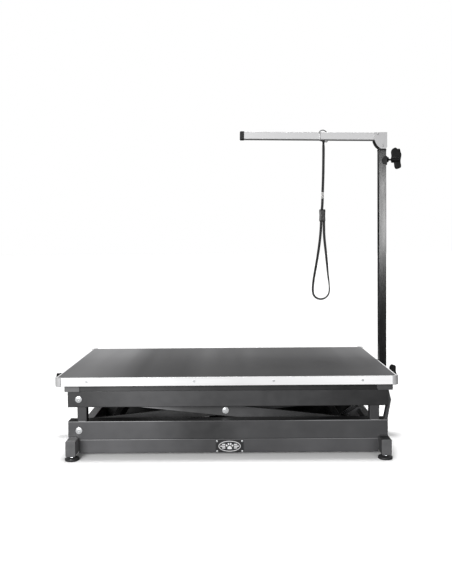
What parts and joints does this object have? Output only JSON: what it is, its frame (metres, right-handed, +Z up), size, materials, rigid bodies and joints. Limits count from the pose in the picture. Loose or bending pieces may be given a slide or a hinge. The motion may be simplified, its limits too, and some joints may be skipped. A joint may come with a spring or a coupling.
{
  "type": "grooming table",
  "caption": "Low scissor-lift pet grooming table with a matted top, roller channels, levelling feet, a clamped telescopic arm post and a hanging noose.",
  "frame": {"origin": "centre of the bounding box, at floor level under the levelling feet, with the table fully lowered", "axes": "+X along the table towards the arm post, +Y away from the user's side that carries the nameplate, +Z up"},
  "size_m": [1.4312, 0.6706, 1.2579],
  "materials": {
    "frame_paint": "satin charcoal powder coat",
    "scissor_paint": "satin black powder coat",
    "leg_cap_plastic": "moulded dark grey end plugs",
    "zinc_steel": "bright zinc plated fasteners",
    "plate_metal": null,
    "motor_casting": "cast aluminium housing",
    "screw_steel": "greased steel screw",
    "black_plastic": "moulded black nylon",
    "roller_nylon": "turned nylon rollers",
    "board_wood": "plywood board",
    "mat_rubber": "ribbed charcoal rubber mat",
    "edge_aluminium": "satin anodised aluminium edging",
    "corner_plastic": "light grey moulded corners",
    "post_paint": "semi-gloss black paint",
    "arm_silver": "silver painted aluminium",
    "ring_chrome": "plated wire ring",
    "strap_webbing": "flat black webbing",
    "clip_metal": "nickel plated swivel clip",
    "slider_plastic": "black strap slider"
  },
  "bodies": {
    "base": {"base_cross_tube_left": "frame_paint", "base_cross_tube_right": "frame_paint", "base_rail_front": "frame_paint", "base_rail_rear": "frame_paint", "leg_end_caps": "leg_cap_plastic", "lower_channel_front": "frame_paint", "lower_channel_rear": "frame_paint", "stop_posts": "frame_paint", "end_guards": "frame_paint", "nameplate": "plate_metal", "nameplate_rivets": "zinc_steel", "lower_pivot_bolts": "zinc_steel", "drive_mounts": "scissor_paint", "drive_motor": "motor_casting", "control_box": "black_plastic"},
    "lead_screw": {"lead_screw": "screw_steel"},
    "foot_front_left": {"levelling_foot_front_left": "black_plastic"},
    "foot_front_right": {"levelling_foot_front_right": "black_plastic"},
    "foot_rear_left": {"levelling_foot_rear_left": "black_plastic"},
    "foot_rear_right": {"levelling_foot_rear_right": "black_plastic"},
    "inner_arms": {"inner_arm_front": "scissor_paint", "inner_arm_rear": "scissor_paint", "inner_cross_members": "scissor_paint"},
    "outer_arms": {"outer_arm_front": "scissor_paint", "outer_arm_rear": "scissor_paint", "outer_cross_members": "scissor_paint", "centre_bolts": "zinc_steel"},
    "roller_upper_front": {"roller_upper_front": "roller_nylon"},
    "roller_upper_rear": {"roller_upper_rear": "roller_nylon"},
    "roller_lower_front": {"roller_lower_front": "roller_nylon"},
    "roller_lower_rear": {"roller_lower_rear": "roller_nylon"},
    "carriage": {"drive_carriage": "motor_casting"},
    "table_top": {"upper_channel_front": "frame_paint", "upper_channel_rear": "frame_paint", "upper_pivot_bolts": "zinc_steel", "frame_cross_tubes": "frame_paint", "frame_rails": "frame_paint", "tabletop_board": "board_wood", "table_mat": "mat_rubber", "edge_trims": "edge_aluminium", "corner_caps": "corner_plastic", "trim_screws": "zinc_steel", "arm_socket_left": "frame_paint", "arm_socket_right": "frame_paint"},
    "knob_left": {"socket_knob_left": "black_plastic"},
    "knob_right": {"socket_knob_right": "black_plastic"},
    "post": {"post_tube": "post_paint", "post_collar": "black_plastic", "clamp_saddle": "black_plastic"},
    "arm_knob": {"arm_clamp_knob": "black_plastic"},
    "arm": {"arm_inner_tube": "post_paint", "arm_bar": "arm_silver", "bar_end_cap": "black_plastic", "corner_bracket": "arm_silver", "bracket_rivets": "arm_silver"},
    "ring": {"noose_ring": "ring_chrome"},
    "noose": {"noose_strap": "strap_webbing", "noose_clip": "clip_metal", "noose_slider": "slider_plastic", "noose_loop": "strap_webbing"}
  },
  "joints": [
    {"name": "table_lift", "type": "hinge", "parent": "base", "child": "inner_arms", "pos_m": [-0.5595, 0, 0.101], "axis": [0, -1, 0], "range_deg": [0, 41]},
    {"name": "scissor_open", "type": "hinge", "parent": "inner_arms", "child": "outer_arms", "pos_m": [-0.012, 0, 0.16], "axis": [0, -1, 0], "range_deg": [-82, 0]},
    {"name": "table_level", "type": "hinge", "parent": "outer_arms", "child": "table_top", "pos_m": [-0.5595, 0, 0.219], "axis": [0, -1, 0], "range_deg": [0, 41]},
    {"name": "carriage_level", "type": "hinge", "parent": "outer_arms", "child": "carriage", "pos_m": [0.5355, 0, 0.101], "axis": [0, -1, 0], "range_deg": [0, 41]},
    {"name": "roller_upper_front_spin", "type": "hinge", "parent": "inner_arms", "child": "roller_upper_front", "pos_m": [0.5355, -0.254, 0.219], "axis": [0, 1, 0], "continuous": true},
    {"name": "roller_upper_rear_spin", "type": "hinge", "parent": "inner_arms", "child": "roller_upper_rear", "pos_m": [0.5355, 0.254, 0.219], "axis": [0, 1, 0], "continuous": true},
    {"name": "roller_lower_front_spin", "type": "hinge", "parent": "outer_arms", "child": "roller_lower_front", "pos_m": [0.5355, -0.254, 0.101], "axis": [0, 1, 0], "continuous": true},
    {"name": "roller_lower_rear_spin", "type": "hinge", "parent": "outer_arms", "child": "roller_lower_rear", "pos_m": [0.5355, 0.254, 0.101], "axis": [0, 1, 0], "continuous": true},
    {"name": "screw_spin", "type": "hinge", "parent": "base", "child": "lead_screw", "pos_m": [0.3225, 0, 0.05], "axis": [1, 0, 0], "continuous": true},
    {"name": "foot_front_left_height", "type": "slide", "parent": "base", "child": "foot_front_left", "axis": [0, 0, -1], "range_m": [0, 0.01]},
    {"name": "foot_front_right_height", "type": "slide", "parent": "base", "child": "foot_front_right", "axis": [0, 0, -1], "range_m": [0, 0.01]},
    {"name": "foot_rear_left_height", "type": "slide", "parent": "base", "child": "foot_rear_left", "axis": [0, 0, -1], "range_m": [0, 0.01]},
    {"name": "foot_rear_right_height", "type": "slide", "parent": "base", "child": "foot_rear_right", "axis": [0, 0, -1], "range_m": [0, 0.01]},
    {"name": "socket_knob_left_turn", "type": "hinge", "parent": "table_top", "child": "knob_left", "pos_m": [-0.6975, 0, 0.245], "axis": [-1, 0, 0], "range_deg": [0, 360]},
    {"name": "socket_knob_right_turn", "type": "hinge", "parent": "table_top", "child": "knob_right", "pos_m": [0.6825, 0, 0.245], "axis": [1, 0, 0], "range_deg": [0, 360]},
    {"name": "post_height", "type": "slide", "parent": "table_top", "child": "post", "axis": [0, 0, 1], "range_m": [0, 0.075]},
    {"name": "arm_knob_turn", "type": "hinge", "parent": "post", "child": "arm_knob", "pos_m": [0.6925, 0, 1.133], "axis": [1, 0, 0], "range_deg": [0, 360]},
    {"name": "arm_height", "type": "slide", "parent": "post", "child": "arm", "axis": [0, 0, 1], "range_m": [0, 0.45]},
    {"name": "ring_slide", "type": "slide", "parent": "arm", "child": "ring", "axis": [0.9998, 0, -0.0175], "range_m": [-0.28, 0.16]},
    {"name": "noose_swing", "type": "hinge", "parent": "ring", "child": "noose", "pos_m": [0.3977, 0, 1.21047], "axis": [0.6691, 0.7431, 0], "range_deg": [-60, 60]}
  ],
  "couplings": [
    {"joint": "scissor_open", "follows": "table_lift", "ratio": -2},
    {"joint": "table_level", "follows": "table_lift", "ratio": 1},
    {"joint": "carriage_level", "follows": "table_lift", "ratio": 1}
  ]
}
